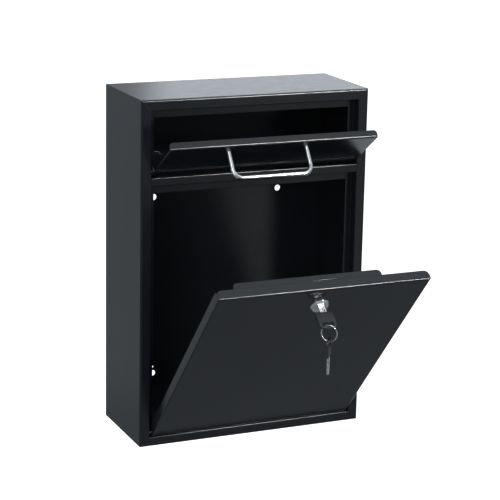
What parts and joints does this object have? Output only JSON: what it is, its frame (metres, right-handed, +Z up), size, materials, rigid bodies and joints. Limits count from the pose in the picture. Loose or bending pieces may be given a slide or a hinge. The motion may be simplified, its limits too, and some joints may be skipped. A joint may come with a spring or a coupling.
{
  "type": "wall mounted mailbox",
  "caption": "Locking steel drop box for a wall, with a tip-out mail flap above a bottom-hinged door, cam lock with key and spare key on a ring.",
  "frame": {"origin": "centre of the four wall-screw holes, on the back face that lies against the wall", "axes": "+X to the right when facing the box, +Y towards the wall, +Z up"},
  "size_m": [0.285, 0.3266, 0.411],
  "materials": {
    "black_paint": "fine textured semi-gloss black powder coat",
    "chrome": "polished nickel-chrome plate",
    "zinc": "satin zinc plate",
    "black_plastic": "fine matte moulded black"
  },
  "bodies": {
    "box": {"back_panel": "black_paint", "right_wall": "black_paint", "left_wall": "black_paint", "top_wall": "black_paint", "bottom_wall": "black_paint", "divider_rail": "black_paint"},
    "flap": {"flap_panel": "black_paint", "flap_arm_right": "black_paint", "flap_arm_left": "black_paint", "flap_pins": "zinc", "pull_handle": "chrome", "handle_screws": "zinc", "handle_washers": "zinc"},
    "door": {"door_panel": "black_paint", "lock_guard": "black_paint", "door_pins": "zinc", "lock_body": "chrome", "lock_nut": "zinc"},
    "lock_core": {"lock_plug": "chrome", "lock_cam": "zinc", "cam_screw": "zinc"},
    "key": {"key_blade": "chrome", "key_bow": "black_plastic"},
    "ring": {"key_ring": "chrome"},
    "spare_key": {"spare_key_blade": "chrome", "spare_key_bow": "black_plastic"}
  },
  "joints": [
    {"name": "flap_hinge", "type": "hinge", "parent": "box", "child": "flap", "pos_m": [0, -0.1156, 0.1698], "axis": [1, 0, 0], "range_deg": [-55.5, 0]},
    {"name": "door_hinge", "type": "hinge", "parent": "box", "child": "door", "pos_m": [0, -0.114, -0.1446], "axis": [1, 0, 0], "range_deg": [-41.7, 0]},
    {"name": "lock_turn", "type": "hinge", "parent": "door", "child": "lock_core", "pos_m": [0, -0.2949, 0.04942], "axis": [0, -0.7466, -0.6652], "range_deg": [0, 90]},
    {"name": "key_slide", "type": "slide", "parent": "lock_core", "child": "key", "axis": [0, -0.7466, -0.6652], "range_m": [0, 0.03]},
    {"name": "ring_swing", "type": "hinge", "parent": "key", "child": "ring", "pos_m": [0.0014, -0.31745, 0.02933], "axis": [1, 0, 0], "range_deg": [-15, 42]},
    {"name": "spare_key_swing", "type": "hinge", "parent": "ring", "child": "spare_key", "pos_m": [0.002, -0.31745, 0.01633], "axis": [0.5878, 0.809, 0], "range_deg": [-15, 15]}
  ]
}
